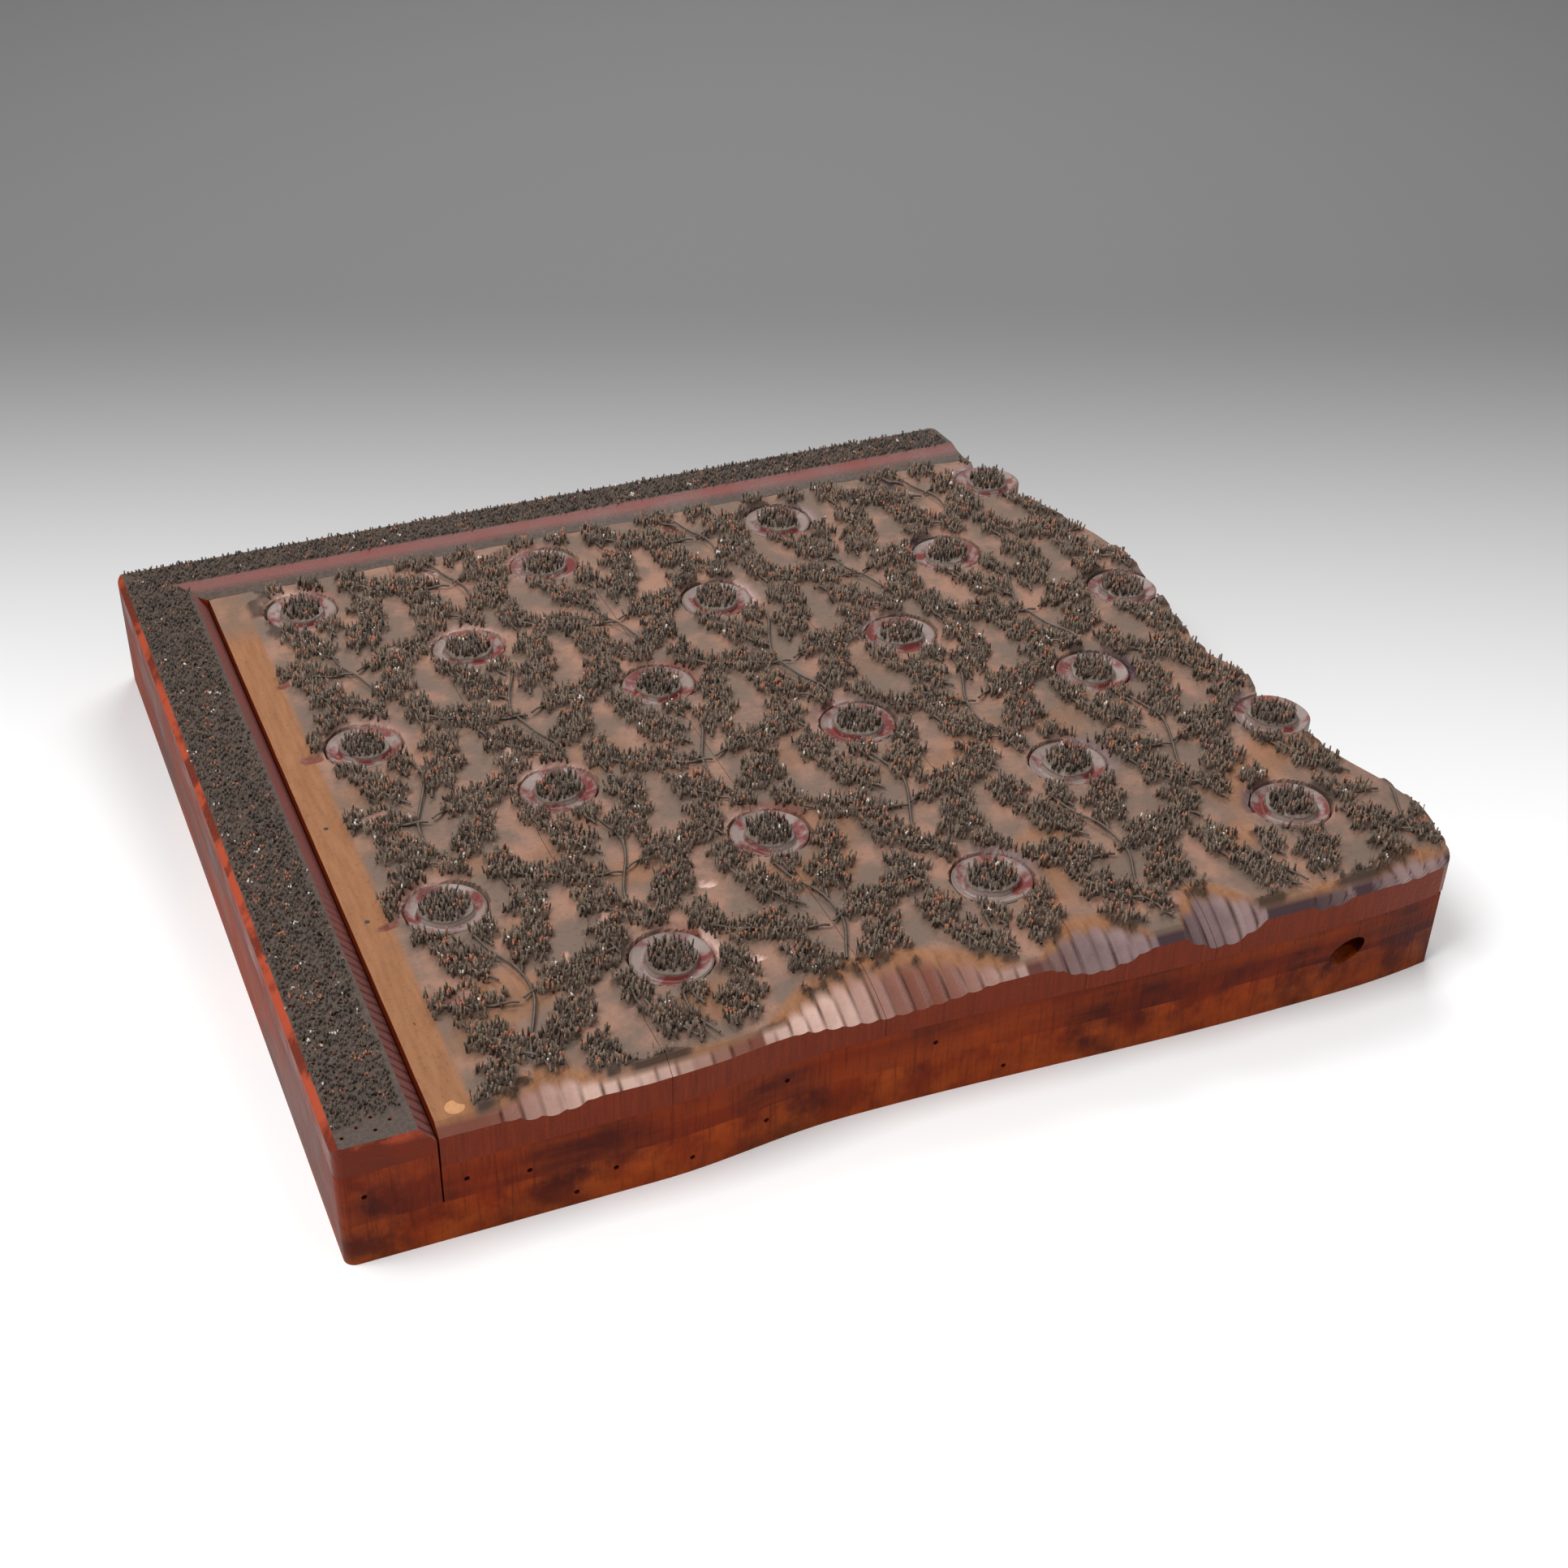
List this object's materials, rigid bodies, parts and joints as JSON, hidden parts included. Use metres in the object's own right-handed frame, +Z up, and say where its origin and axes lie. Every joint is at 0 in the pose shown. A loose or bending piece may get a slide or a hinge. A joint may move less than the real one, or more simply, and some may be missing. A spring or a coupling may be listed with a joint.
{
  "type": "wallpaper printing block",
  "caption": "Laminated wooden hand block for printing wallpaper, with a pinned leaf pattern, turned plugs and two raised border rails.",
  "frame": {"origin": "middle of the bounding box at the flat underside", "axes": "+X to the right along the front edge, +Y to the back, +Z up through the printing face"},
  "size_m": [0.548, 0.499, 0.069],
  "materials": {
    "oiled_board": "stained and waxed, worn orange at the edges",
    "printed_face": "ground worn grey-brown by colour and washing",
    "rail": "dark, ink-stained, satin on the hollow",
    "plug": "turned, maroon stain in the ring",
    "peg": "bare, waxed",
    "pin": "blackened by dried printing colour",
    "strip": "blackened, worn brighter on top",
    "brad": "rust-dark iron"
  },
  "bodies": {
    "root": {"back_board_left": "oiled_board", "back_board_middle": "oiled_board", "back_board_right": "oiled_board", "core_board_front": "oiled_board", "core_board_middle": "oiled_board", "core_board_back": "oiled_board", "left_cleat": "oiled_board", "face_board_1": "printed_face", "face_board_2": "printed_face", "face_board_3": "printed_face", "face_board_4": "printed_face", "face_board_5": "printed_face", "left_rail": "rail", "back_rail": "rail", "plug_1": "plug", "plug_2": "plug", "plug_3": "plug", "plug_4": "plug", "plug_5": "plug", "plug_6": "plug", "plug_7": "plug", "plug_8": "plug", "plug_9": "plug", "plug_10": "plug", "plug_11": "plug", "plug_12": "plug", "plug_13": "plug", "plug_14": "plug", "plug_15": "plug", "plug_16": "plug", "plug_17": "plug", "plug_18": "plug", "plug_19": "plug", "plug_20": "plug", "plug_21": "plug", "filling_peg": "peg", "left_rail_pins": "pin", "back_rail_pins": "pin", "plug_pins": "pin", "leaf_pins_1": "pin", "leaf_pins_2": "pin", "leaf_pins_3": "pin", "leaf_pins_4": "pin", "leaf_pins_5": "pin", "stem_strips": "strip", "margin_brads": "brad", "front_brads": "brad"}
  },
  "joints": []
}
